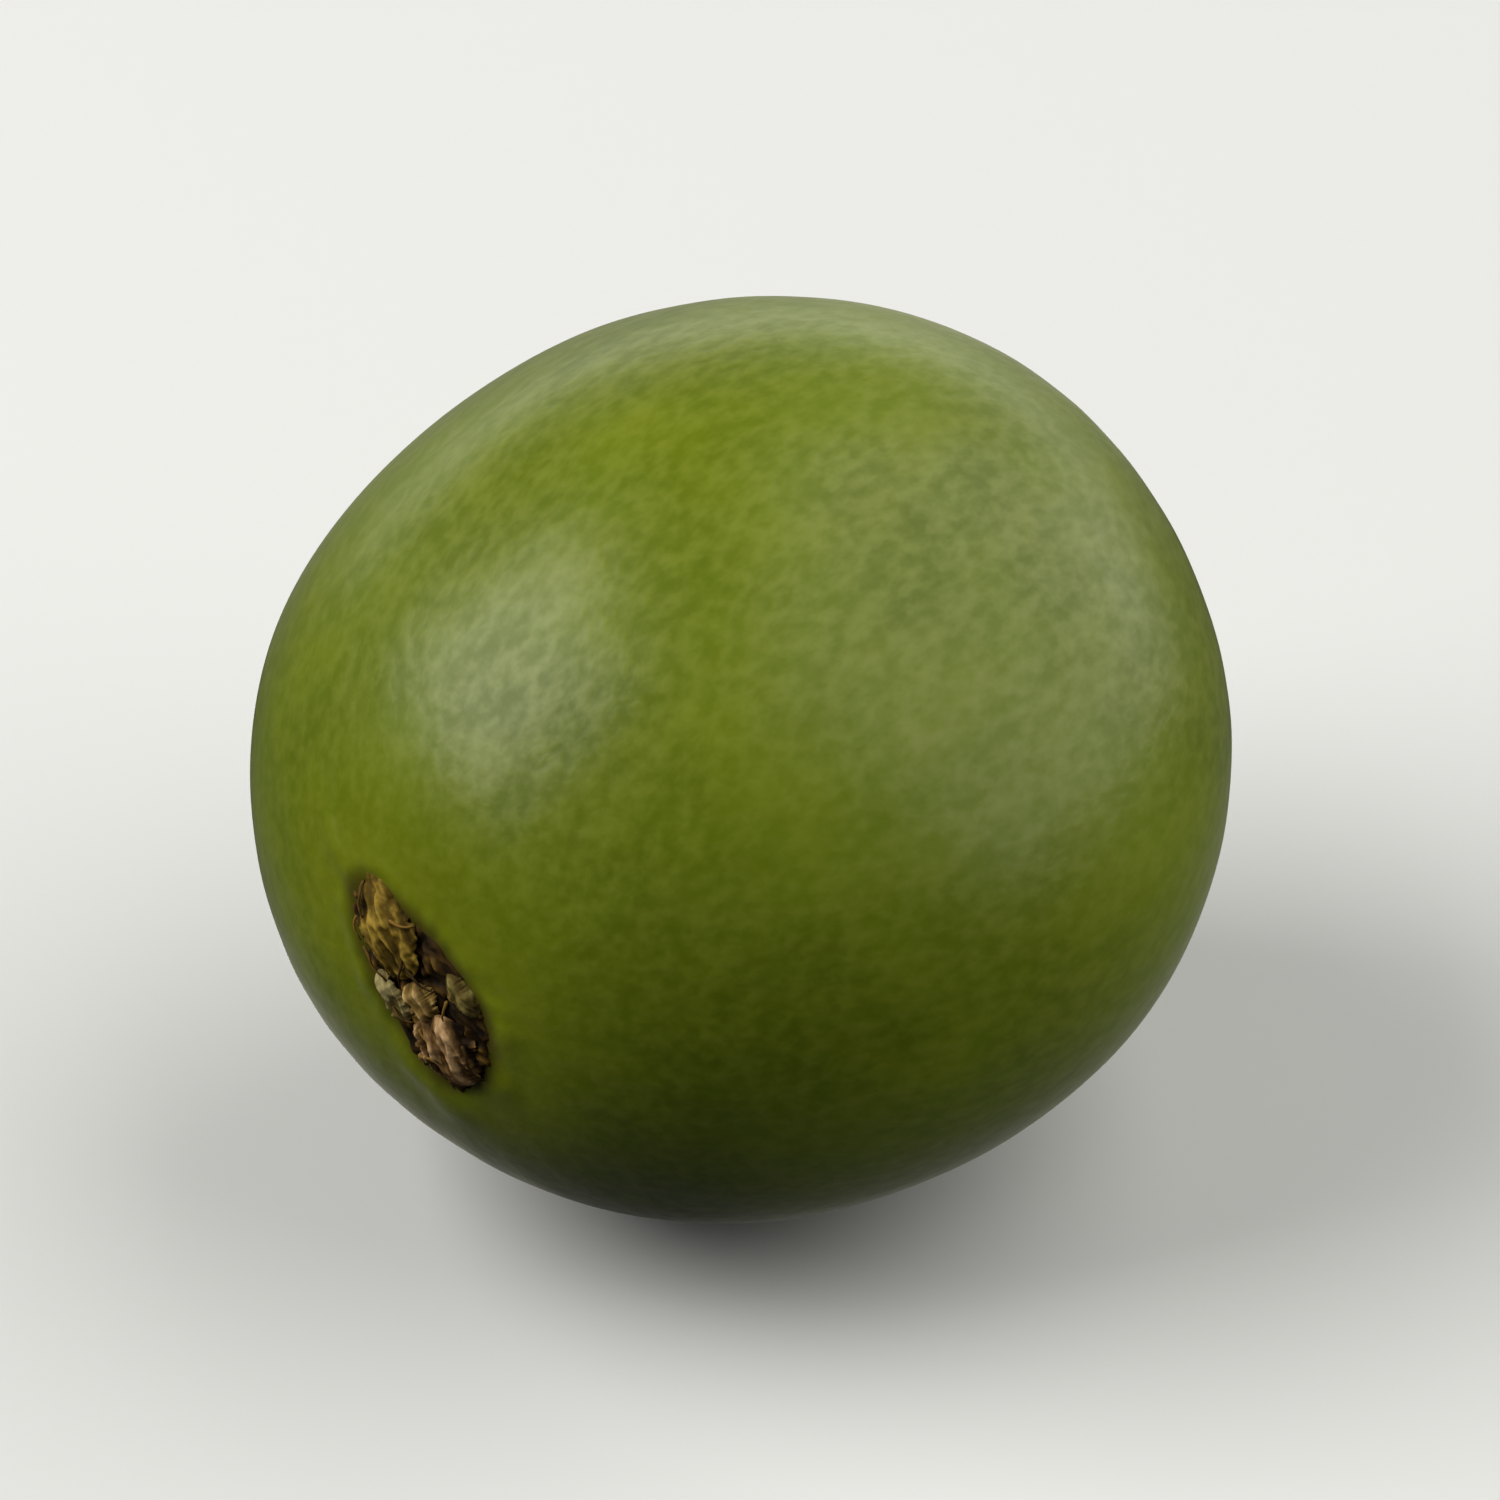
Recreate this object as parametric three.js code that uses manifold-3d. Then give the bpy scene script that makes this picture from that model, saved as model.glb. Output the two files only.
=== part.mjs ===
// A kiwi berry lying on its side: one smooth green fruit, the dried remains of its flower pressed
// against one end, and the stub of its stalk at the other.
// Millimetres, +Z up. The fruit's axis lies along X, flower end at -X and stalk end at +X.
// The origin is on the ground, under the middle of the outer box.

import * as THREE from "three";
import { mergeVertices } from "three/addons/utils/BufferGeometryUtils.js";
import Module from "manifold-3d";

const wasm = await Module();
wasm.setup();

// The fruit's size
const LENGTH = 26.8;
const WIDTH = 24.9;
const HEIGHT = 23.5;
const FLAT_SPOT_DEPTH = 0.3; // how far the skin is pressed in where the fruit lies
const STALK_HALF_FULLNESS = 0.025; // how much wider the stalk half is than an even oval

// Slow swells and flats of the skin: which way each faces, how far it rises, and its spread in radians
const SWELLS = [
  { facing: new THREE.Vector3(-0.08, 0.77, 0.63), rise: -0.2, spread: 0.42 },
  { facing: new THREE.Vector3(-0.51, 0.83, 0.21), rise: 0.15, spread: 0.36 },
  { facing: new THREE.Vector3(0.72, -0.14, 0.68), rise: 0.18, spread: 0.42 },
  { facing: new THREE.Vector3(0.34, -0.85, -0.41), rise: 0.12, spread: 0.36 },
  { facing: new THREE.Vector3(-0.74, 0.22, -0.63), rise: -0.15, spread: 0.32 },
];

// The two ends of the fruit
const HOLLOW_DEPTH = 0.55; // the flower end dips in under the dried flower
const HOLLOW_HALF_LENGTH = 4.2;
const HOLLOW_HALF_WIDTH = 2.9;
const BEAK_HEIGHT = 0.3; // the stalk end draws out to the stalk
const BEAK_RADIUS = 1.6;

// The dried flower lies slantwise across the end: its length runs this way, turned from +Y towards +Z
const FLOWER_TURN = THREE.MathUtils.degToRad(225);
const SCAR = { along: -0.05, across: 0.25, length: 6.2, width: 3.5, thickness: 0.36 };
const SCALE_THICKNESS = 0.42;
const SCALES = {
  flower_scale_upper: { along: -1.85, across: -0.15, length: 2.8, width: 1.7 },
  flower_scale_lower: { along: 1.95, across: 0.3, length: 2.1, width: 2.0 },
  flower_scale_middle: { along: 0.45, across: 0.3, length: 0.75, width: 0.9 },
  flower_scale_left: { along: -0.1, across: 1.2, length: 1.3, width: 0.7 },
  flower_scale_right: { along: 0.9, across: -1.1, length: 1.4, width: 0.5 },
};
const SEAT_GAP = 0.08; // clear space under each dried piece

// The stalk stub: a thin stem that tore off a little above the skin
const STUB_LENGTH = 1.0;
const STUB_FOOT_RADIUS = 0.5;
const STUB_WAIST_RADIUS = 0.32;
const STUB_TORN_RADIUS = 0.4;

// How finely the round shapes are divided
const FRUIT_STEPS_AROUND = 60;
const FRUIT_STEPS_ALONG = 34;
const RING_CROWDING = 0.25; // draws the rings closer together towards both ends
const SCAR_STEPS = { around: 16, along: 10 };
const SCALE_STEPS = { around: 10, along: 8 };
const STUB_STEPS = 14;
const WELD_DISTANCE = 1e-4;

const fruitMaterial = new THREE.MeshStandardMaterial({ color: 0x6b8a2c, roughness: 0.45, metalness: 0 });
const scarMaterial = new THREE.MeshStandardMaterial({ color: 0x2e1e0c, roughness: 0.95, metalness: 0 });
const scaleMaterial = new THREE.MeshStandardMaterial({ color: 0x74552f, roughness: 0.85, metalness: 0 });
const stalkMaterial = new THREE.MeshStandardMaterial({ color: 0x4a3018, roughness: 0.9, metalness: 0 });

// A bump that is 1 in its middle and fades to nothing
function fade(distance) {
  return Math.exp(-distance * distance);
}

// Turns a place on the dried flower (along it, across it) to Y and Z
function flowerToYZ(along, across) {
  const y = along * Math.cos(FLOWER_TURN) - across * Math.sin(FLOWER_TURN);
  const z = along * Math.sin(FLOWER_TURN) + across * Math.cos(FLOWER_TURN);
  return { y, z };
}

// The other way: Y and Z to a place along and across the dried flower
function yzToFlower(y, z) {
  const along = y * Math.cos(FLOWER_TURN) + z * Math.sin(FLOWER_TURN);
  const across = z * Math.cos(FLOWER_TURN) - y * Math.sin(FLOWER_TURN);
  return { along, across };
}

// How far the skin stands off an even oval at a point of that oval
function skinRise(point) {
  const outward = point.clone().normalize();
  let rise = 0;
  for (const swell of SWELLS) {
    rise += swell.rise * fade(outward.angleTo(swell.facing) / swell.spread);
  }
  if (point.x < 0) {
    const { along, across } = yzToFlower(point.y, point.z);
    rise -= HOLLOW_DEPTH * fade(Math.hypot(along / HOLLOW_HALF_LENGTH, across / HOLLOW_HALF_WIDTH));
  } else {
    rise += BEAK_HEIGHT * fade(Math.hypot(point.y, point.z) / BEAK_RADIUS);
  }
  return rise;
}

// A point of the skin: polar is 0 at the flower end and PI at the stalk end, around turns about the axis
function skinPoint(polar, around) {
  const girth = Math.sin(polar) * (1 - STALK_HALF_FULLNESS * Math.cos(polar));
  const point = new THREE.Vector3(
    (-LENGTH / 2) * Math.cos(polar),
    (WIDTH / 2) * girth * Math.cos(around),
    (HEIGHT / 2) * girth * Math.sin(around),
  );
  const outward = point.clone().normalize();
  return point.addScaledVector(outward, skinRise(point));
}

// A place on the flower end, at a height above the skin
function onFlowerEnd(along, across, height) {
  const { y, z } = flowerToYZ(along, across);
  const endGirth = 1 - STALK_HALF_FULLNESS;
  const partY = y / ((WIDTH / 2) * endGirth);
  const partZ = z / ((HEIGHT / 2) * endGirth);
  const point = skinPoint(Math.asin(Math.hypot(partY, partZ)), Math.atan2(partZ, partY));
  point.x -= height;
  return point;
}

// A closed ball whose points are each moved to where the place function says
function shapedBall(steps, place) {
  const geometry = new THREE.SphereGeometry(1, steps.around, steps.along);
  const position = geometry.attributes.position;
  const onBall = new THREE.Vector3();
  for (let i = 0; i < position.count; i += 1) {
    onBall.fromBufferAttribute(position, i);
    const point = place(onBall);
    position.setXYZ(i, point.x, point.y, point.z);
  }
  return geometry;
}

function toSolid(geometry) {
  const bare = geometry.clone();
  bare.deleteAttribute("normal");
  bare.deleteAttribute("uv");
  const welded = mergeVertices(bare, WELD_DISTANCE);
  const mesh = new wasm.Mesh({
    numProp: 3,
    vertProperties: new Float32Array(welded.attributes.position.array),
    triVerts: new Uint32Array(welded.index.array),
  });
  return new wasm.Manifold(mesh);
}

function toGeometry(solid) {
  const { vertProperties, triVerts } = solid.getMesh();
  const geometry = new THREE.BufferGeometry();
  geometry.setAttribute("position", new THREE.BufferAttribute(vertProperties, 3));
  geometry.setIndex(new THREE.BufferAttribute(triVerts, 1));
  geometry.computeVertexNormals();
  return geometry;
}

// The whole fruit, with the flat spot that it lies on
function makeFruit() {
  const steps = { around: FRUIT_STEPS_AROUND, along: FRUIT_STEPS_ALONG };
  const skin = shapedBall(steps, (onBall) => {
    const evenPolar = Math.acos(THREE.MathUtils.clamp(onBall.y, -1, 1));
    const polar = evenPolar - RING_CROWDING * Math.sin(2 * evenPolar);
    return skinPoint(polar, Math.atan2(onBall.z, onBall.x));
  });
  const ground = new THREE.BoxGeometry(LENGTH, WIDTH, HEIGHT);
  ground.translate(0, 0, FLAT_SPOT_DEPTH - HEIGHT);
  const mesh = new THREE.Mesh(toGeometry(toSolid(skin).subtract(toSolid(ground))), fruitMaterial);
  mesh.name = "fruit";
  return mesh;
}

// A flat dried piece that follows the curve of the flower end, lifted clear of what is under it
function driedPiece(name, { along, across, length, width, thickness }, lift, steps, material) {
  const geometry = shapedBall(steps, (onBall) => onFlowerEnd(
    along + (length / 2) * onBall.y,
    across + (width / 2) * onBall.x,
    lift + (thickness / 2) * (1 + onBall.z),
  ));
  const mesh = new THREE.Mesh(geometry, material);
  mesh.name = name;
  return mesh;
}

// The woody scar that the flower grew on
function makeScar() {
  return driedPiece("flower_scar", SCAR, SEAT_GAP, SCAR_STEPS, scarMaterial);
}

// The shrivelled scales of the flower, lying on the scar
function makeScales() {
  const lift = SEAT_GAP + SCAR.thickness + SEAT_GAP;
  return Object.entries(SCALES).map(([name, scale]) => (
    driedPiece(name, { ...scale, thickness: SCALE_THICKNESS }, lift, SCALE_STEPS, scaleMaterial)
  ));
}

// The stub of the stalk, standing out of the stalk end along the axis
function makeStub() {
  const profile = [
    new THREE.Vector2(0, 0),
    new THREE.Vector2(STUB_FOOT_RADIUS, 0),
    new THREE.Vector2(STUB_WAIST_RADIUS, STUB_LENGTH / 2),
    new THREE.Vector2(STUB_TORN_RADIUS, STUB_LENGTH),
    new THREE.Vector2(0, STUB_LENGTH),
  ];
  const mesh = new THREE.Mesh(new THREE.LatheGeometry(profile, STUB_STEPS), stalkMaterial);
  mesh.name = "stalk_stub";
  mesh.rotation.z = -Math.PI / 2;
  mesh.position.copy(skinPoint(Math.PI, 0));
  mesh.position.x += SEAT_GAP;
  return mesh;
}

const pieces = new THREE.Group();
pieces.add(makeFruit(), makeScar(), ...makeScales(), makeStub());

// Stands the fruit on the ground with the middle of its outer box over the origin
const outerBox = new THREE.Box3().setFromObject(pieces);
const middle = outerBox.getCenter(new THREE.Vector3());
pieces.position.set(-middle.x, -middle.y, -outerBox.min.z);

const kiwiBerry = new THREE.Group();
kiwiBerry.add(pieces);

export default kiwiBerry;
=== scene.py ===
# Kiwi berry on a pale table: satin green skin, the dried flower at one end, the torn stalk at the other.
# Metres, +Z up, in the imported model's own frame: flower end at -X, stalk end at +X.
import math
import bmesh
import bpy
from mathutils import Matrix, Vector, noise


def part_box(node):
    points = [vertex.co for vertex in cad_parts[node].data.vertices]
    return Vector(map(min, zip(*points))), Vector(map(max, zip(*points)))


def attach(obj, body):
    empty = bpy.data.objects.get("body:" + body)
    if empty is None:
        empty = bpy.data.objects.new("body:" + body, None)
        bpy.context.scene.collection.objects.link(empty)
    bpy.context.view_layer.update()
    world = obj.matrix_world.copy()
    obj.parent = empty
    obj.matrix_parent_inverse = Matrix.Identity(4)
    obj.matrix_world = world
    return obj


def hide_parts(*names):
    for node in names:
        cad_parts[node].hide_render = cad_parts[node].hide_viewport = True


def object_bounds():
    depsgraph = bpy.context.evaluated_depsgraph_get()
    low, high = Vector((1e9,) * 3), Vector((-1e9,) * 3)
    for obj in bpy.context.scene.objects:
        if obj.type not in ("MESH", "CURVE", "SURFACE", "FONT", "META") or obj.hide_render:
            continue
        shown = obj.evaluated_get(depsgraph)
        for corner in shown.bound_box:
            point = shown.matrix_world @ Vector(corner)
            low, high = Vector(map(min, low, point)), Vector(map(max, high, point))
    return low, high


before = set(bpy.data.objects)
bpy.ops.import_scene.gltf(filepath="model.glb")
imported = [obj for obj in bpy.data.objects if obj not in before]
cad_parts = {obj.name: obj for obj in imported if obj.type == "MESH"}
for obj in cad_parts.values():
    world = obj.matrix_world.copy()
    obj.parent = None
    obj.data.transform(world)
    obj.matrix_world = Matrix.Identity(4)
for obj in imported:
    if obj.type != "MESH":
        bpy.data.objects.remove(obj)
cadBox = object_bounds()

mm = 0.001
scene = bpy.context.scene


# Camera, at the photograph's viewing angle
viewSettings = {
    "turn": -51.5,         # degrees about Z, 0 looks along +Y
    "height": 33.5,        # degrees above level
    "distance": 425 * mm,
    "fill": 0.66,          # the fruit's share of the picture's width
    "seenWidth": 26 * mm,  # how wide the fruit looks from here
    "nearest": 10 * mm,    # nothing closer than this is drawn
}


def fromCamera(right, away, up):
    # a direction in the camera's own turn: right, away from it and up, in part axes
    turn = Matrix.Rotation(math.radians(viewSettings["turn"]), 3, "Z")
    return turn @ Vector((right, away, up))


def aim(obj, target):
    obj.rotation_euler = (target - obj.location).to_track_quat("-Z", "Y").to_euler()


def makeCamera():
    middle = (cadBox[0] + cadBox[1]) / 2
    height = math.radians(viewSettings["height"])
    pictureWidth = viewSettings["seenWidth"] / viewSettings["fill"]
    data = bpy.data.cameras.new("camera")
    data.angle = 2 * math.atan(pictureWidth / 2 / viewSettings["distance"])
    data.clip_start = viewSettings["nearest"]
    obj = bpy.data.objects.new("camera", data)
    scene.collection.objects.link(obj)
    obj.location = middle + viewSettings["distance"] * fromCamera(0, -math.cos(height), math.sin(height))
    aim(obj, middle)
    scene.camera = obj
    print("camera: lens", round(data.lens, 1), "mm")


makeCamera()


# Light: a soft box on each side and a low one behind, a pale room and a pale floor
lightSettings = {
    "boxes": {   # where each stands as the camera sees it: right, away, up
        "left": {"towards": (-0.718, -0.08, 0.692), "distance": 0.5, "size": (0.43, 0.39), "watts": 2.75},
        "right": {"towards": (0.80, 0.08, 0.60), "distance": 0.5, "size": (0.85, 0.95), "watts": 4.2},
        "back": {"towards": (0.1, 0.98, 0.13), "distance": 0.6, "size": (1.4, 0.14), "watts": 0.75},
    },
    "boxColor": "#fffcf7",
    "roomColor": "#f2f5f8",
    "roomAtHorizon": 0.12,   # the walls are brighter than the ceiling
    "roomOverhead": 0.05,
    "roomBelow": 0.03,
    "horizonBlur": 0.1,      # how softly the room darkens below the horizon
    "floorColor": "#dbdddd",
    "floorRoughness": 0.95,
    "floorGloss": 0.2,
    "floorRadius": 0.7,
    "floorSides": 96,
}


def hexColor(text):
    # sRGB hex to the linear values that a shader takes
    parts = [int(text[i:i + 2], 16) / 255 for i in (1, 3, 5)]
    return tuple(c / 12.92 if c <= 0.04045 else ((c + 0.055) / 1.055) ** 2.4 for c in parts) + (1.0,)


def addNode(owner, kind, inputs, output=0, **settings):
    # one shader node with its settings, values and links; gives back one of its outputs
    node = owner.node_tree.nodes.new("ShaderNode" + kind)
    for name, value in settings.items():
        setattr(node, name, value)
    for name, value in inputs.items():
        if isinstance(value, bpy.types.NodeSocket):
            owner.node_tree.links.new(value, node.inputs[name])
        else:
            node.inputs[name].default_value = value
    return node.outputs[output] if node.outputs else None


def newMaterial(name):
    material = bpy.data.materials.new(name)
    material.use_nodes = True
    material.node_tree.nodes.clear()
    return material


def paint(material, color, layers):
    # lays colours over the first one: each goes from one share to another as its value goes through a range
    for value, (low, high), (atLow, atHigh), layer in layers:
        share = addNode(material, "MapRange", {
            "Value": value, "From Min": low, "From Max": high, "To Min": atLow, "To Max": atHigh},
            interpolation_type="SMOOTHSTEP")
        color = addNode(material, "Mix", {
            "Factor": share, "A": color, "B": hexColor(layer)}, "Result", data_type="RGBA")
    return color


def makeLights():
    middle = (cadBox[0] + cadBox[1]) / 2
    for side, box in lightSettings["boxes"].items():
        data = bpy.data.lights.new(side + "SoftBox", "AREA")
        data.shape = "RECTANGLE"
        data.size, data.size_y = box["size"]
        data.energy = box["watts"]
        data.color = hexColor(lightSettings["boxColor"])[:3]
        obj = bpy.data.objects.new(data.name, data)
        scene.collection.objects.link(obj)
        obj.location = middle + fromCamera(*box["towards"]).normalized() * box["distance"]
        aim(obj, middle)


def makeRoom():
    world = bpy.data.worlds.new("room")
    world.use_nodes = True
    world.node_tree.nodes.clear()
    towards = addNode(world, "TexCoord", {}, "Generated")
    up = addNode(world, "SeparateXYZ", {"Vector": towards}, "Z")
    above = addNode(world, "MapRange", {
        "Value": up, "To Min": lightSettings["roomAtHorizon"], "To Max": lightSettings["roomOverhead"]})
    strength = addNode(world, "MapRange", {
        "Value": up, "From Min": -lightSettings["horizonBlur"], "From Max": 0,
        "To Min": lightSettings["roomBelow"], "To Max": above})
    glow = addNode(world, "Background", {
        "Color": hexColor(lightSettings["roomColor"]), "Strength": strength})
    addNode(world, "OutputWorld", {"Surface": glow})
    scene.world = world
    scene.view_settings.view_transform = "Standard"


def makeFloor():
    bm = bmesh.new()
    bmesh.ops.create_circle(
        bm, cap_ends=True, segments=lightSettings["floorSides"], radius=lightSettings["floorRadius"])
    mesh = bpy.data.meshes.new("floor")
    bm.to_mesh(mesh)
    bm.free()
    floor = bpy.data.objects.new("floor", mesh)
    scene.collection.objects.link(floor)
    paper = newMaterial("mattPaper")   # a sheet of uncoated paper: pale, no gloss, no pattern
    surface = addNode(paper, "BsdfPrincipled", {
        "Base Color": hexColor(lightSettings["floorColor"]), "Roughness": lightSettings["floorRoughness"],
        "Specular IOR Level": lightSettings["floorGloss"]})
    addNode(paper, "OutputMaterial", {"Surface": surface})
    mesh.materials.append(paper)
    floor.visible_diffuse = False   # the paper doesn't light the fruit from below, so its shade stays deep
    floor.visible_glossy = False


makeLights()
makeRoom()
makeFloor()
print("stage: floor, room and", len(lightSettings["boxes"]), "soft boxes")


# The fruit's shape: the same oval as the solid, with the skin's finer swells, lip and creases
fruitShape = {
    "size": Vector((26.8, 24.9, 23.5)) * mm,
    "stalkFullness": 0.025,    # how much wider the stalk half is than an even oval
    "pressed": 0.3 * mm,       # depth of the flat spot
    "pressedEdge": 0.08 * mm,  # how softly the flat spot begins
    "around": 320,
    "rings": 200,
    "ringCrowding": 0.25,      # draws the rings together at both ends, where the detail is
    "swells": [                # which way each faces, how far it rises, its spread in radians
        (Vector((-0.08, 0.77, 0.63)), -0.2 * mm, 0.42),
        (Vector((-0.51, 0.83, 0.21)), 0.15 * mm, 0.36),
        (Vector((0.72, -0.14, 0.68)), 0.18 * mm, 0.42),
        (Vector((0.34, -0.85, -0.41)), 0.12 * mm, 0.36),
        (Vector((-0.74, 0.22, -0.63)), -0.15 * mm, 0.32),
    ],
    "lumps": [(8.0 * mm, 0.05 * mm), (3.0 * mm, 0.014 * mm)],   # size, height
    # faint ribs from end to end, at their full height where the girth reaches fullAt
    "ribs": {"count": 23, "height": 0.005 * mm, "fullAt": 6 * mm, "wander": 2.5, "wanderSize": 5 * mm},
    "hollow": {"depth": 0.55 * mm, "halfLength": 4.2 * mm, "halfWidth": 2.9 * mm},
    # the lip round the scar and its creases have their place and width in scar radii
    "lip": {
        "height": 0.11 * mm, "place": 1.25, "width": 0.30, "least": 0.7, "vary": 0.9, "varySize": 1.3 * mm},
    "lipCreases": {
        "count": 13, "height": 0.012 * mm, "place": 1.3, "width": 0.32, "wander": 3, "wanderSize": 1.5 * mm},
    # a pinched ridge off the scar's upper tip
    "fold": {
        "height": 0.09 * mm, "width": 0.38 * mm, "length": 1.5 * mm, "start": 0.3 * mm, "across": 0.35 * mm,
        "slant": 0.15},
    "beak": {"height": 0.3 * mm, "radius": 1.6 * mm},
    "beakCreases": {
        "count": 13, "height": 0.012 * mm, "place": 1.1 * mm, "width": 0.8 * mm,
        "wander": 0, "wanderSize": 1.0 * mm},
}
scarShape = {
    "along": -0.05 * mm,
    "across": 0.25 * mm,
    "length": 6.2 * mm,
    "width": 3.0 * mm,         # halfway along; it narrows towards the upper tip
    "pear": 0.3,               # how much it narrows
    "lean": 0.75 * mm,         # how far the lower end bends across
    "bluntness": 1.5,          # of the lower end; 1 would draw it out like the upper one
    "dome": 0.26 * mm,         # how high its middle stands over the hollow's floor
    "sunk": 0.05 * mm,         # how far its edge is tucked under the skin
    "underside": 0.3 * mm,
    # powers under 1 give steep sides: of the plate, of its detail and of what lies on it
    "steepness": 0.5,
    "detailSteepness": 0.4,
    "topSteepness": 0.35,
    "ragged": [(2.6, 0.16), (9, 0.08)],                        # how often round the edge, how uneven
    "lumps": [(0.7 * mm, 0.12 * mm), (0.3 * mm, 0.07 * mm)],   # size, height
    "cracks": {"size": 0.55 * mm, "depth": 0.14 * mm, "width": 0.35, "narrowing": 1.6},
    "plateShade": 0.4,         # painted light: how pale an uncracked spot is beside the painted shade of its cracks, and the height that turns dark to pale
    "shadeHeight": 0.25 * mm,
    "around": 160,
    "rings": 100,
    "colors": ("#140b02", "#3c2a0a", "#7e6026"),   # painted shade in creases, body, painted light on ridges
    "fibre": 0.2 * mm,
}
flowerTurn = math.radians(225)   # the dried flower's length, turned from +Y towards +Z
tiny = 1e-6                      # keeps a division clear of zero


def fade(distance):
    return math.exp(-distance * distance)


def lumpy(spot, lumps):
    return sum(height * noise.noise(spot / size) for size, height in lumps)


def onFlower(y, z):
    # Y and Z off the fruit's axis, as a place along and across the dried flower
    along = y * math.cos(flowerTurn) + z * math.sin(flowerTurn)
    across = z * math.cos(flowerTurn) - y * math.sin(flowerTurn)
    return along, across


def offFlower(along, across):
    y = along * math.cos(flowerTurn) - across * math.sin(flowerTurn)
    z = along * math.sin(flowerTurn) + across * math.cos(flowerTurn)
    return y, z


def scarMidline(part):
    # the scar's middle and half width at a part of its length, -1 to 1
    middle = scarShape["across"] + scarShape["lean"] * max(0, part) ** 2
    return middle, scarShape["width"] / 2 * (1 + scarShape["pear"] * max(-1, min(1, part)))


def scarRadius(along, across):
    # 0 in the middle of the scar, 1 at its edge; the upper end is drawn out, the lower one blunt
    part = (along - scarShape["along"]) / (scarShape["length"] / 2)
    middle, halfWidth = scarMidline(part)
    lengthwise = part if part < 0 else part ** scarShape["bluntness"]
    return math.hypot(lengthwise, (across - middle) / halfWidth)


def scarDistance(along, across):
    # how far past the scar's edge, from the radius and its slope
    step = 0.01 * mm
    radius = scarRadius(along, across)
    rise = scarRadius(along + step, across) - radius
    sideRise = scarRadius(along, across + step) - radius
    return (radius - 1) / max(math.hypot(rise, sideRise) / step, tiny)


def slowRise(point):
    # the shape that the solid has too: swells, the hollow at one end and the beak at the other
    outward = point.normalized()
    rise = sum(r * fade(outward.angle(facing) / spread) for facing, r, spread in fruitShape["swells"])
    if point.x < 0:
        hollow = fruitShape["hollow"]
        along, across = onFlower(point.y, point.z)
        away = math.hypot(along / hollow["halfLength"], across / hollow["halfWidth"])
        return rise - hollow["depth"] * fade(away)
    beak = fruitShape["beak"]
    return rise + beak["height"] * fade(math.hypot(point.y, point.z) / beak["radius"])


def wavering(shape, turn, point):
    # a wave round the fruit whose crests don't run quite straight
    return math.sin(shape["count"] * turn + shape["wander"] * noise.noise(point / shape["wanderSize"]))


def creaseRise(shape, turn, away, point):
    # creases that run out from an end, deepest at one distance from it
    return shape["height"] * wavering(shape, turn, point) * fade((away - shape["place"]) / shape["width"])


def foldRise(along, across):
    fold = fruitShape["fold"]
    past = -along - scarShape["length"] / 2
    side = across - fold["across"] - fold["slant"] * past
    return fold["height"] * fade(side / fold["width"]) * fade((past - fold["start"]) / fold["length"])


def fineRise(point):
    # what only the skin shows: unevenness, ribs, the lip round the scar, creases at both ends
    turn = math.atan2(point.z, point.y)
    girth = math.hypot(point.y, point.z)
    ribs = fruitShape["ribs"]
    ribHeight = ribs["height"] * min(girth / ribs["fullAt"], 1) ** 2
    rise = lumpy(point, fruitShape["lumps"]) + ribHeight * wavering(ribs, turn, point)
    if point.x > 0:
        return rise + creaseRise(fruitShape["beakCreases"], turn, girth, point)
    along, across = onFlower(point.y, point.z)
    radius = scarRadius(along, across)
    lip = fruitShape["lip"]
    lipHeight = lip["height"] * (lip["least"] + lip["vary"] * noise.noise(point / lip["varySize"]))
    rise += lipHeight * fade((radius - lip["place"]) / lip["width"])
    rise += creaseRise(fruitShape["lipCreases"], math.atan2(across, along), radius, point)
    return rise + foldRise(along, across)


def ovalPoint(onBall):
    girth = 1 + fruitShape["stalkFullness"] * onBall.x
    half = fruitShape["size"] / 2
    return Vector((onBall.x * half.x, onBall.y * half.y * girth, onBall.z * half.z * girth))


def pressFlat(point):
    # the skin gives way to the table, with a soft edge
    floor = fruitShape["pressed"] - fruitShape["size"].z / 2
    over = point.z - floor
    point.z = floor + (over + math.hypot(over, fruitShape["pressedEdge"])) / 2
    return point


def slowPoint(onBall):
    point = ovalPoint(onBall)
    return point + point.normalized() * slowRise(point)


def skinPoint(onBall):
    point = ovalPoint(onBall)
    return pressFlat(point + point.normalized() * (slowRise(point) + fineRise(point)))


def crowdRings(onBall):
    # moves a point of the ball along its meridian, so that the rings lie closer at the ends
    polar = math.acos(max(-1, min(1, -onBall.x)))
    closer = polar - fruitShape["ringCrowding"] * math.sin(2 * polar)
    girth = math.hypot(onBall.y, onBall.z)
    stretch = math.sin(closer) / girth if girth > tiny else 0
    return Vector((-math.cos(closer), onBall.y * stretch, onBall.z * stretch))


# The solid's fruit tells where the oval's middle is
flowerEnd = slowPoint(Vector((-1, 0, 0)))
stalkEnd = slowPoint(Vector((1, 0, 0)))
fruitLow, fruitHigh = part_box("fruit")
ovalMiddle = Vector((
    (fruitLow[0] + fruitHigh[0] - flowerEnd.x - stalkEnd.x) / 2,
    (fruitLow[1] + fruitHigh[1]) / 2,
    fruitLow[2] + fruitShape["size"].z / 2 - fruitShape["pressed"],
))
stalkFoot = skinPoint(Vector((1, 0, 0)))


def onFlowerEnd(along, across, height):
    # a place on the flower end, at a height over the hollow's floor
    y, z = offFlower(along, across)
    half = fruitShape["size"] / 2
    girth = 1 - fruitShape["stalkFullness"]
    partY, partZ = y / half.y / girth, z / half.z / girth
    point = slowPoint(Vector((-math.sqrt(1 - partY * partY - partZ * partZ), partY, partZ)))
    return point + Vector((-height, 0, 0))


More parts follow.
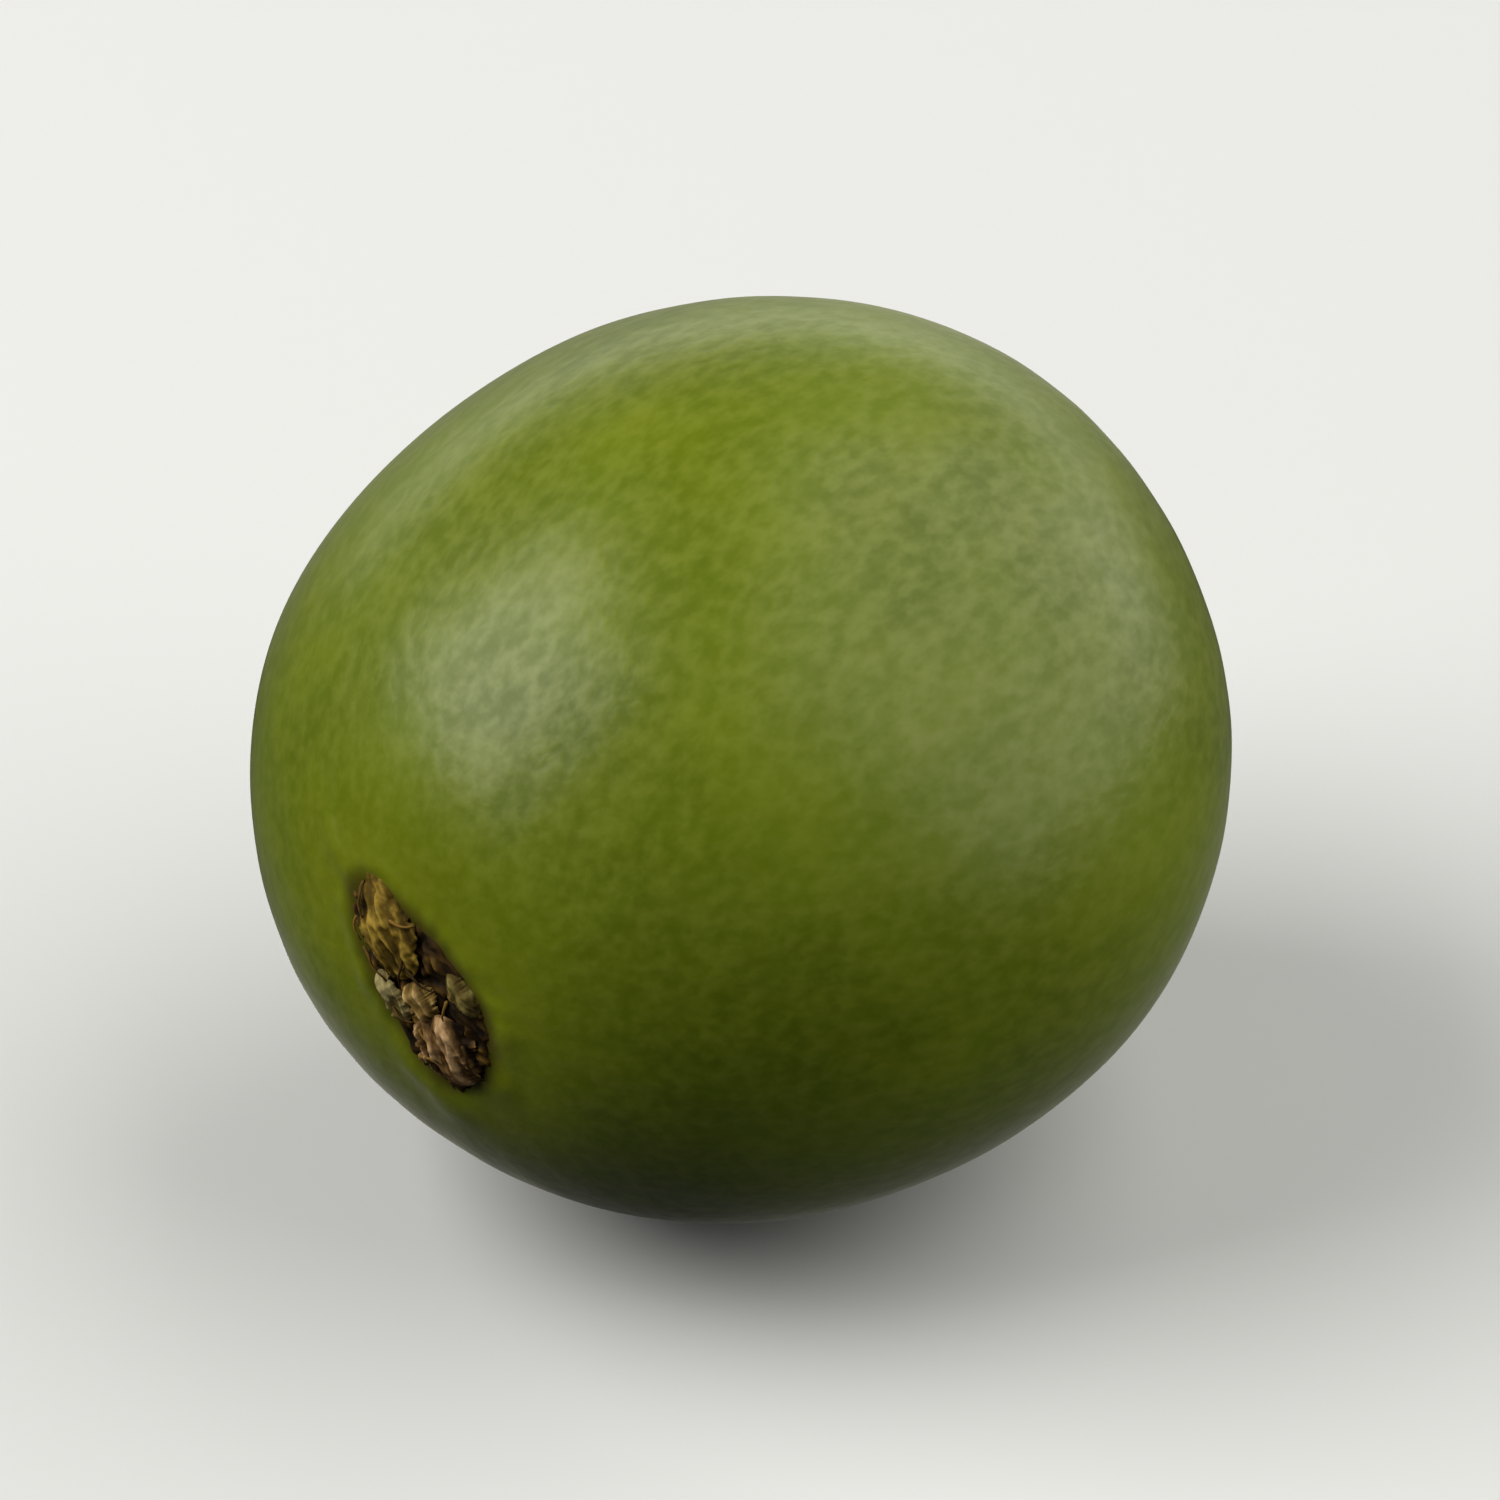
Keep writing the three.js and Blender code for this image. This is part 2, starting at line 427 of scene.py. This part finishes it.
def finishPiece(bm, name, node, material):
    # a bmesh in oval axes becomes an object in the part's frame that rides with the fruit
    bmesh.ops.translate(bm, verts=bm.verts, vec=ovalMiddle)
    for face in bm.faces:
        face.smooth = True
    mesh = bpy.data.meshes.new(name)
    bm.to_mesh(mesh)
    bm.free()
    mesh.materials.append(material)
    piece = bpy.data.objects.new(name, mesh)
    scene.collection.objects.link(piece)
    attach(piece, "root")
    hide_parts(node)
    print(name + ":", len(mesh.polygons), "faces")


# Kiwi berry skin: hairless, satin from a thin patchy wax bloom over yellow-green flesh
skinLook = {
    "deep": "#576704",
    "fresh": "#657709",
    "yellow": "#7d850e",
    "fleck": "#808c22",
    "bloom": "#f4f5e4",       # the dusty wax bloom, which shows most at the fruit's edges
    "scarEdgeDark": "#3e310b",   # dark brown round the scar's edge
    "stalkStain": "#8f5a12",  # orange brown round the stalk
    "patchSize": 9.0 * mm,
    "patchRange": (0.35, 0.65),
    "mottleSize": 2.0 * mm,
    "mottleDetail": 3,
    "mottleRoughness": 0.55,
    "mottleRange": (0.4, 0.75),
    "mottling": 0.25,
    "fleckSize": 0.42 * mm,   # coarser than the skin's own pores, which are too fine to show
    "fleckStretch": 0.65,     # under 1 draws the flecks out along the fruit
    "clustering": 0.15,       # how much the mottle gathers the flecks
    "fleckRange": (0.28, 0.76),
    "flecking": 0.5,
    "waxing": (0.36, 0.84),   # how thin and how thick the wax lies
    "edgeWander": 0.6,        # how unevenly the stains and the scar's dark edge end
    # where each stain and the scar's dark edge fade out, and their share before that
    "scarYellowing": ((0.5, 3.5), 0.45),    # millimetres past the scar
    "scarEdgeDarkening": ((0.25, 0.85), 0.8),
    "stalkYellowing": ((0.5, 1.4), 0.6),    # parts of the reach round the stalk
    "stalkStaining": ((0.42, 0.85), 0.85),
    "stalkReach": 6.0 * mm,
    "farFromScar": 9,         # millimetres, for the half of the fruit without the scar
    "roughness": 0.33,
    "ior": 1.33,              # juicy flesh under a thin skin
    "gloss": 0.25,
    "waxRoughness": 0.36,
    "waxIor": 1.42,
    "bloomWeight": 0.4,
    "bloomRoughness": 0.3,
    "bump": 0.3,
    "bumpHeight": 0.05 * mm,
}


def makeSkin():
    look = skinLook
    skin = newMaterial("kiwiBerrySkin")
    place = addNode(skin, "TexCoord", {}, "Object")
    drawn = addNode(skin, "Mapping", {"Vector": place, "Scale": (look["fleckStretch"], 1, 1)})
    patches = addNode(skin, "TexNoise", {"Vector": place, "Scale": 1 / look["patchSize"]})
    mottle = addNode(skin, "TexNoise", {
        "Vector": drawn, "Scale": 1 / look["mottleSize"], "Detail": look["mottleDetail"],
        "Roughness": look["mottleRoughness"]})
    specks = addNode(skin, "TexNoise", {"Vector": drawn, "Scale": 1 / look["fleckSize"]})
    flecks = addNode(skin, "Mix", {"Factor": look["clustering"], "A": specks, "B": mottle}, "Result")

    # millimetres past the scar's edge, and parts of the stalk stain's reach, both with a wandering edge
    scarAway = addNode(skin, "Attribute", {}, "Fac", attribute_name="scarAway")
    pastScar = addNode(skin, "Math", {
        0: mottle, 1: look["edgeWander"], 2: scarAway}, operation="MULTIPLY_ADD")
    stalkAway = addNode(skin, "VectorMath", {
        0: place, 1: ovalMiddle + stalkFoot}, "Value", operation="DISTANCE")
    reached = addNode(skin, "Math", {0: stalkAway, 1: look["stalkReach"]}, operation="DIVIDE")
    pastStalk = addNode(skin, "Math", {
        0: mottle, 1: look["edgeWander"], 2: reached}, operation="MULTIPLY_ADD")

    layers = [
        (patches, look["patchRange"], (0, 1), look["fresh"]),
        (mottle, look["mottleRange"], (0, look["mottling"]), look["yellow"]),
        (flecks, look["fleckRange"], (0, look["flecking"]), look["fleck"]),
    ]
    for away, fading, tint in [
            (pastScar, "scarYellowing", "yellow"), (pastScar, "scarEdgeDarkening", "scarEdgeDark"),
            (pastStalk, "stalkYellowing", "yellow"), (pastStalk, "stalkStaining", "stalkStain")]:
        reach, share = look[fading]
        layers.append((away, reach, (share, 0), look[tint]))
    color = paint(skin, hexColor(look["deep"]), layers)
    thin, thick = look["waxing"]
    wax = addNode(skin, "MapRange", {
        "Value": flecks, "From Min": look["fleckRange"][0], "From Max": look["fleckRange"][1],
        "To Min": thin, "To Max": thick}, interpolation_type="SMOOTHSTEP")
    bump = addNode(skin, "Bump", {
        "Height": specks, "Strength": look["bump"], "Distance": look["bumpHeight"]})
    surface = addNode(skin, "BsdfPrincipled", {
        "Base Color": color, "Roughness": look["roughness"], "IOR": look["ior"], "Normal": bump,
        "Specular IOR Level": look["gloss"], "Coat Weight": wax, "Coat Roughness": look["waxRoughness"],
        "Coat IOR": look["waxIor"], "Coat Normal": bump, "Sheen Weight": look["bloomWeight"],
        "Sheen Roughness": look["bloomRoughness"], "Sheen Tint": hexColor(look["bloom"])})
    addNode(skin, "OutputMaterial", {"Surface": surface})
    return skin


def makeFruit():
    bm = bmesh.new()
    poleToX = Matrix.Rotation(math.radians(90), 4, "Y")
    bmesh.ops.create_uvsphere(
        bm, u_segments=fruitShape["around"], v_segments=fruitShape["rings"], radius=1, matrix=poleToX)
    scarAway = bm.verts.layers.float.new("scarAway")   # millimetres past the scar's edge
    for vert in bm.verts:
        onBall = crowdRings(vert.co)
        along, across = onFlower(*ovalPoint(onBall).yz)
        vert[scarAway] = scarDistance(along, across) / mm if onBall.x < 0 else skinLook["farFromScar"]
        vert.co = skinPoint(onBall)
    finishPiece(bm, "berryFruit", "fruit", makeSkin())


makeFruit()


# Dried plant tissue: brown to tan, dull and fibrous, with painted shade in its creases and painted light on
# its ridges
driedLook = {
    "fibreStretch": 4.5,        # how much longer than wide the fibres are
    "fibreDetail": 3,
    "fibreRoughness": 0.6,
    "blotchSize": 0.45 * mm,
    "share": 0.5,               # what fibres and blotches each add to the painted light on a ridge
    "darkToBody": (0.47, 0.87),
    "bodyToPale": (0.84, 1.3),
    "fibreRange": (0.3, 0.7),
    "roughness": (0.7, 0.9),    # between the fibres, on them
    "ior": 1.45,
    "gloss": 0.2,
    "bump": 0.5,
    "bumpHeight": 0.04 * mm,
}


def finishDried(material, color, fibres, relief):
    look = driedLook
    roughness = addNode(material, "MapRange", {
        "Value": fibres, "From Min": look["fibreRange"][0], "From Max": look["fibreRange"][1],
        "To Min": look["roughness"][0], "To Max": look["roughness"][1]}, interpolation_type="SMOOTHSTEP")
    bump = addNode(material, "Bump", {
        "Height": relief, "Strength": look["bump"], "Distance": look["bumpHeight"]})
    surface = addNode(material, "BsdfPrincipled", {
        "Base Color": color, "Roughness": roughness, "Normal": bump, "IOR": look["ior"],
        "Specular IOR Level": look["gloss"]})
    addNode(material, "OutputMaterial", {"Surface": surface})
    return material


def makeDried(name, colors, fibreSize):
    look = driedLook
    dark, body, pale = colors
    dried = newMaterial(name)
    place = addNode(dried, "TexCoord", {}, "Object")
    reliefShadeAndTone = addNode(dried, "Attribute", {}, "Fac", attribute_name="reliefShadeAndTone")
    drawn = addNode(dried, "Mapping", {
        "Vector": place, "Rotation": (flowerTurn, 0, 0), "Scale": (1, look["fibreStretch"], 1)},
        vector_type="TEXTURE")
    fibres = addNode(dried, "TexNoise", {
        "Vector": drawn, "Scale": 1 / fibreSize, "Detail": look["fibreDetail"],
        "Roughness": look["fibreRoughness"]})
    blotches = addNode(dried, "TexNoise", {"Vector": place, "Scale": 1 / look["blotchSize"]})
    # paleness from the relief: painted shade in creases and painted light on ridges, with fibres and
    # blotches over it
    height = addNode(dried, "Math", {0: fibres, 1: look["share"], 2: reliefShadeAndTone}, operation="MULTIPLY_ADD")
    height = addNode(dried, "Math", {0: blotches, 1: look["share"], 2: height}, operation="MULTIPLY_ADD")
    color = paint(dried, hexColor(dark), [
        (height, look["darkToBody"], (0, 1), body),
        (height, look["bodyToPale"], (0, 1), pale),
    ])
    relief = addNode(dried, "Math", {0: fibres, 1: blotches}, operation="ADD")
    return finishDried(dried, color, fibres, relief)


def reliefShadeLayer(bm):
    # how far each vertex stands proud, above 0 to 1, for painted shade in creases and painted light on
    # ridges; on a thread it is the thread's own tone
    return bm.verts.layers.float.new("reliefShadeAndTone")


leastProud = 0.01   # never 0, which marks a vertex that hasn't been shaped


def proud(height):
    return max(leastProud, min(1, height))


def scarTop(along, across):
    # the scar's smooth upper side over the hollow's floor
    full = max(0, 1 - scarRadius(along, across) ** 2)
    return (scarShape["dome"] + scarShape["sunk"]) * full ** scarShape["topSteepness"] - scarShape["sunk"]


# Dried threads of the flower that lie on the scar; the steps scatter them in a fixed way
threadShape = {
    "count": 11,
    "length": 1.0 * mm,
    "lengthVary": 0.35,
    "lengthStep": 5.1,
    "radius": 0.05 * mm,
    "taper": 0.4,
    "sides": 8,
    "cuts": 12,
    "reachAlong": 2.6 * mm,    # how far from the scar's middle they lie
    "reachAcross": 0.9 * mm,
    "acrossStep": 2.4,
    "heading": 0.9,            # radians off the scar's length, at most
    "headingStep": 1.9,
    "headingStart": 0.5,
    "bend": 0.16 * mm,
    "bendSize": 0.5 * mm,
    "bendStep": 1.7,
    "bendRow": 3.1,            # which row of the noise bends them
    "arch": 0.10 * mm,
    "lift": 0.2 * mm,
    "shade": 0.55,
    "shadeVary": 0.3,
}


def addThread(bm, reliefShadeAndTone, number):
    # one dried thread: a thin tapering rod, bent and laid on the scar
    shape = threadShape
    length = shape["length"] * (1 + shape["lengthVary"] * math.sin(shape["lengthStep"] * number))
    part = 2 * number / (shape["count"] - 1) - 1   # of the way from one end to the other, -1 to 1
    midAlong = scarShape["along"] + shape["reachAlong"] * part
    midAcross = scarMidline(part)[0] + shape["reachAcross"] * math.sin(shape["acrossStep"] * number)
    heading = shape["heading"] * math.sin(shape["headingStep"] * number + shape["headingStart"])
    rod = bmesh.ops.create_cone(
        bm, cap_ends=True, segments=shape["sides"], radius1=shape["radius"],
        radius2=shape["radius"] * shape["taper"], depth=length)
    sides = {edge for vert in rod["verts"] for edge in vert.link_edges if edge.calc_length() > length / 2}
    bmesh.ops.subdivide_edges(bm, edges=list(sides), cuts=shape["cuts"])
    for vert in [vert for vert in bm.verts if vert[reliefShadeAndTone] == 0]:   # only the new ones
        x, y, run = vert.co
        spot = Vector((shape["bendStep"] * number, shape["bendRow"], run / shape["bendSize"]))
        side = y + shape["bend"] * noise.noise(spot)
        along = midAlong + run * math.cos(heading) + side * math.sin(heading)
        across = midAcross + run * math.sin(heading) - side * math.cos(heading)
        arch = shape["arch"] * (1 - (2 * run / length) ** 2)
        vert.co = onFlowerEnd(along, across, scarTop(along, across) + shape["lift"] + arch + x)
        vert[reliefShadeAndTone] = proud(shape["shade"] + shape["shadeVary"] * math.sin(number))


# The scar: a low cracked plate of cork
def makeScar():
    bm = bmesh.new()
    reliefShadeAndTone = reliefShadeLayer(bm)
    cracks = scarShape["cracks"]
    bmesh.ops.create_uvsphere(
        bm, u_segments=scarShape["around"], v_segments=scarShape["rings"], radius=1)
    for vert in bm.verts:
        x, y, z = vert.co
        rim = Vector((x, y, 0)).normalized()
        edge = 1 + sum(uneven * noise.noise(rim * often) for often, uneven in scarShape["ragged"])
        part = x * edge if x < 0 else (x * edge) ** (1 / scarShape["bluntness"])
        middle, halfWidth = scarMidline(part)
        along = scarShape["along"] + part * scarShape["length"] / 2
        across = middle + y * edge * halfWidth
        spot = Vector((along, across * cracks["narrowing"], 0))
        near = noise.voronoi(spot / cracks["size"])[0]
        crack = min((near[1] - near[0]) / cracks["width"], 1)   # 0 in a crack, 1 on a plate
        lump = lumpy(spot, scarShape["lumps"])
        height = scarShape["underside"] * z - scarShape["sunk"]
        if z > 0:
            thick = scarShape["dome"] + scarShape["sunk"]
            height = thick * z ** scarShape["steepness"] - scarShape["sunk"]
            height += (cracks["depth"] * (crack - 1) + lump) * z ** scarShape["detailSteepness"]
        # painted shade in the cracks, painted light on the lumps
        vert[reliefShadeAndTone] = proud(scarShape["plateShade"] * crack + lump / scarShape["shadeHeight"])
        vert.co = onFlowerEnd(along, across, height)
    for number in range(threadShape["count"]):
        addThread(bm, reliefShadeAndTone, number)
    bmesh.ops.reverse_faces(bm, faces=bm.faces)   # laying them on the -X end turned them inside out
    cork = makeDried("corkScar", scarShape["colors"], scarShape["fibre"])
    finishPiece(bm, "flowerScar", "flower_scar", cork)


makeScar()


# Five shrivelled scales on the scar; each is a thin leaf that has dried, wrinkled and torn
scaleShape = {
    "thickness": 0.12 * mm,
    "seat": 0.04 * mm,           # over the scar
    "around": 160,
    "rings": 110,
    "ragged": 0.26,              # how torn the edges are
    "tears": [(4, 2, 1), (11, 3, 0.7)],   # how often along an edge, which part of the noise, share
    "tipUneven": 0.12,
    "tipWaves": 3,
    # length, width, height
    "fibres": [(1.7 * mm, 0.30 * mm, 0.14 * mm), (0.9 * mm, 0.13 * mm, 0.05 * mm)],
    "fibreGroove": 4,            # how sharp the grooves between the fibres are
    "lumps": [(0.55 * mm, 0.12 * mm), (0.22 * mm, 0.05 * mm)],   # size, height
    "edgeFall": 2.4,             # powers: how late the leaf falls off to its edges and tips
    "tipFall": 4,
    "curlFall": 4,
    "curlWaves": 2,
    "curlSeed": 7,
    "edgeRound": 0.5,            # a power under 1 gives the leaf a full edge
    "edgeRelief": 0.4,           # how much of the relief is left at the edge
    # painted light on the leaf's middle and raised fibres, painted shade at its edges and in its grooves
    "shade": 0.30,
    "bodyShade": 0.15,
    "shadeHeight": 0.32 * mm,    # the height that turns painted shade to painted light
    "fibre": 0.1 * mm,
    "firstSeed": 11.3,
    "seedStep": 5.7,
}
# each scale's colors: painted shade in creases, the body, painted light on ridges
scales = {   # turn in degrees and shift across on the solid's place; higher tip powers are sharper
    "upper": {
        "turn": 8, "shift": 0.1 * mm, "length": 3.0 * mm, "width": 1.7 * mm, "tips": (0.8, 0.45),
        "dome": 0.20 * mm, "curl": 0.3 * mm, "colors": ("#1b1202", "#534007", "#a88c36")},
    "lower": {
        "turn": 24, "shift": 0.42 * mm, "length": 2.3 * mm, "width": 2.0 * mm, "tips": (0.4, 0.45),
        "dome": 0.26 * mm, "curl": 0.25 * mm, "colors": ("#1e1207", "#6d5029", "#caa676")},
    "middle": {
        "turn": 0, "shift": 0.05 * mm, "length": 1.15 * mm, "width": 1.2 * mm, "tips": (0.4, 0.4),
        "dome": 0.2 * mm, "curl": 0.15 * mm, "colors": ("#291b08", "#7f6530", "#cfb174")},
    "left": {
        "turn": 12, "shift": 0.05 * mm, "length": 1.6 * mm, "width": 0.95 * mm, "tips": (0.5, 0.4),
        "dome": 0.14 * mm, "curl": 0.2 * mm, "colors": ("#261c0a", "#6a5e30", "#a39766")},
    "right": {
        "turn": 0, "shift": 0.0 * mm, "length": 1.4 * mm, "width": 0.55 * mm, "tips": (0.5, 0.5),
        "dome": 0.12 * mm, "curl": 0.2 * mm, "colors": ("#1d1406", "#53441a", "#978a4c")},
}


def leafWidth(u, tips):
    # a leaf's width from tip (-1) to tip (1), 1 at its widest
    first, last = tips
    widest = (first - last) / (first + last)
    most = (1 + widest) ** first * (1 - widest) ** last
    return max(0, 1 + u) ** first * max(0, 1 - u) ** last / most


def leafRelief(along, across, seed):
    # long fibres with sharp grooves between them, and lumps
    relief = lumpy(Vector((along, across, seed * mm)), scaleShape["lumps"])
    for length, width, height in scaleShape["fibres"]:
        strand = noise.noise(Vector((along / length, across / width, seed + length / mm)))
        relief += height * (1 - scaleShape["fibreGroove"] * abs(strand)) / 2
    return relief


def makeScale(side, seed):
    leaf = scales[side]
    shape = scaleShape
    node = "flower_scale_" + side
    low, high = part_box(node)
    middle = (Vector(low) + Vector(high)) / 2 - ovalMiddle
    midAlong, midAcross = onFlower(middle.y, middle.z)
    turn = math.radians(leaf["turn"])
    bm = bmesh.new()
    reliefShadeAndTone = reliefShadeLayer(bm)
    bmesh.ops.create_uvsphere(bm, u_segments=shape["around"], v_segments=shape["rings"], radius=1)
    for vert in bm.verts:
        u, y, upper = vert.co
        v = y / max(math.sqrt(max(0, 1 - u * u)), abs(y), tiny)   # -1 to 1 from edge to edge
        torn = sum(
            share * noise.noise(Vector((u * often, math.copysign(part, v), seed)))
            for often, part, share in shape["tears"])
        width = leaf["width"] * leafWidth(u, leaf["tips"]) * (1 + shape["ragged"] * torn * abs(v))
        tip = 1 + shape["tipUneven"] * noise.noise(Vector((v * shape["tipWaves"], seed, 0)))
        along = u * leaf["length"] / 2 * tip
        across = v * width / 2
        onAlong = midAlong + along * math.cos(turn) - across * math.sin(turn)
        onAcross = midAcross + leaf["shift"] + along * math.sin(turn) + across * math.cos(turn)
        relief = leafRelief(along, across, seed)
        body = (1 - abs(v) ** shape["edgeFall"]) * (1 - abs(u) ** shape["tipFall"])
        wave = noise.noise(Vector((u, v, 0)) * shape["curlWaves"] + Vector((0, 0, seed + shape["curlSeed"])))
        curl = leaf["curl"] * abs(v) ** shape["curlFall"] * (1 - u * u) * wave
        sheet = math.copysign(abs(upper) ** shape["edgeRound"], upper) * shape["thickness"] / 2
        kept = shape["edgeRelief"] + (1 - shape["edgeRelief"]) * body
        lift = leaf["dome"] * body + relief * kept + curl + sheet
        # painted light on the middle and raised fibres, painted shade at the edges and in the grooves
        vert[reliefShadeAndTone] = proud(shape["shade"] + shape["bodyShade"] * body + relief / shape["shadeHeight"])
        vert.co = onFlowerEnd(onAlong, onAcross, scarTop(onAlong, onAcross) + shape["seat"] + lift)
    bmesh.ops.reverse_faces(bm, faces=bm.faces)   # laying it on the -X end turned it inside out
    material = makeDried("driedScale" + side.capitalize(), leaf["colors"], shape["fibre"])
    finishPiece(bm, "flowerScale" + side.capitalize(), node, material)


for number, side in enumerate(scales):
    makeScale(side, scaleShape["firstSeed"] + scaleShape["seedStep"] * number)


# The torn stalk: a short woody stub, flared where it leaves the skin
stubShape = {
    "outline": [     # radius, height over the skin's end, in mm
        (0.0, -0.35), (0.8, -0.32), (1.0, -0.18), (0.88, -0.06), (0.68, 0.03), (0.52, 0.16), (0.42, 0.36),
        (0.36, 0.6), (0.36, 0.84), (0.4, 1.0), (0.37, 1.05), (0.28, 0.99), (0.14, 0.92), (0.0, 0.9)],
    "cuts": 3,                # between the outline's points
    "steps": 72,
    "weld": 0.002 * mm,       # closes the poles
    # rib height as a part of the radius
    "ribs": {"count": 11, "height": 0.05, "wander": 2, "wanderSize": 0.6 * mm},
    "uneven": 0.12,
    "unevenSize": 0.5 * mm,
    "torn": 0.12 * mm,        # how far the torn end's fibres stand up and down
    "tornSize": 0.22 * mm,
    "tornLoss": 0.06 * mm,    # how much the tear takes off the top
    "tornRise": 3,            # a power: how close to the top the tear stays
    "top": 1.05 * mm,
    "colors": ("#23120a", "#5a3418", "#8a6238"),   # between fibres, fibres, worn patches
    "fibre": 0.12 * mm,
    "fibreStretch": 0.2,      # under 1 draws the fibres out along the stalk
    "fibreRange": (0.35, 0.65),
    "blotchSize": 0.5 * mm,
    "blotchRange": (0.45, 0.75),
    "wornShare": 0.6,
}


def makeStalk():
    # dry stalk: dark woody brown with paler torn fibres
    dark, brown, worn = stubShape["colors"]
    stalk = newMaterial("dryStalk")
    place = addNode(stalk, "TexCoord", {}, "Object")
    drawn = addNode(stalk, "Mapping", {"Vector": place, "Scale": (stubShape["fibreStretch"], 1, 1)})
    fibres = addNode(stalk, "TexNoise", {
        "Vector": drawn, "Scale": 1 / stubShape["fibre"], "Detail": driedLook["fibreDetail"],
        "Roughness": driedLook["fibreRoughness"]})
    blotches = addNode(stalk, "TexNoise", {"Vector": place, "Scale": 1 / stubShape["blotchSize"]})
    color = paint(stalk, hexColor(dark), [
        (fibres, stubShape["fibreRange"], (0, 1), brown),
        (blotches, stubShape["blotchRange"], (0, stubShape["wornShare"]), worn),
    ])
    return finishDried(stalk, color, fibres, fibres)


def makeStub():
    shape = stubShape
    bm = bmesh.new()
    corners = [
        bm.verts.new(stalkFoot + Vector((height, radius, 0)) * mm) for radius, height in shape["outline"]]
    edges = [bm.edges.new(pair) for pair in zip(corners, corners[1:])]
    bmesh.ops.subdivide_edges(bm, edges=edges, cuts=shape["cuts"])
    bmesh.ops.spin(
        bm, geom=bm.verts[:] + bm.edges[:], cent=stalkFoot, axis=(1, 0, 0), angle=2 * math.pi,
        steps=shape["steps"], use_merge=True)
    bmesh.ops.remove_doubles(bm, verts=bm.verts, dist=shape["weld"])
    bmesh.ops.recalc_face_normals(bm, faces=bm.faces)
    for vert in bm.verts:
        out = vert.co - stalkFoot
        rib = shape["ribs"]["height"] * wavering(shape["ribs"], math.atan2(out.z, out.y), out)
        grow = 1 + rib + shape["uneven"] * noise.noise(out / shape["unevenSize"])
        torn = shape["torn"] * noise.noise(Vector((out.y, out.z, 0)) / shape["tornSize"]) - shape["tornLoss"]
        nearTop = max(0, out.x / shape["top"]) ** shape["tornRise"]
        vert.co = stalkFoot + Vector((out.x + torn * nearTop, out.y * grow, out.z * grow))
    finishPiece(bm, "stalkStub", "stalk_stub", makeStalk())


makeStub()
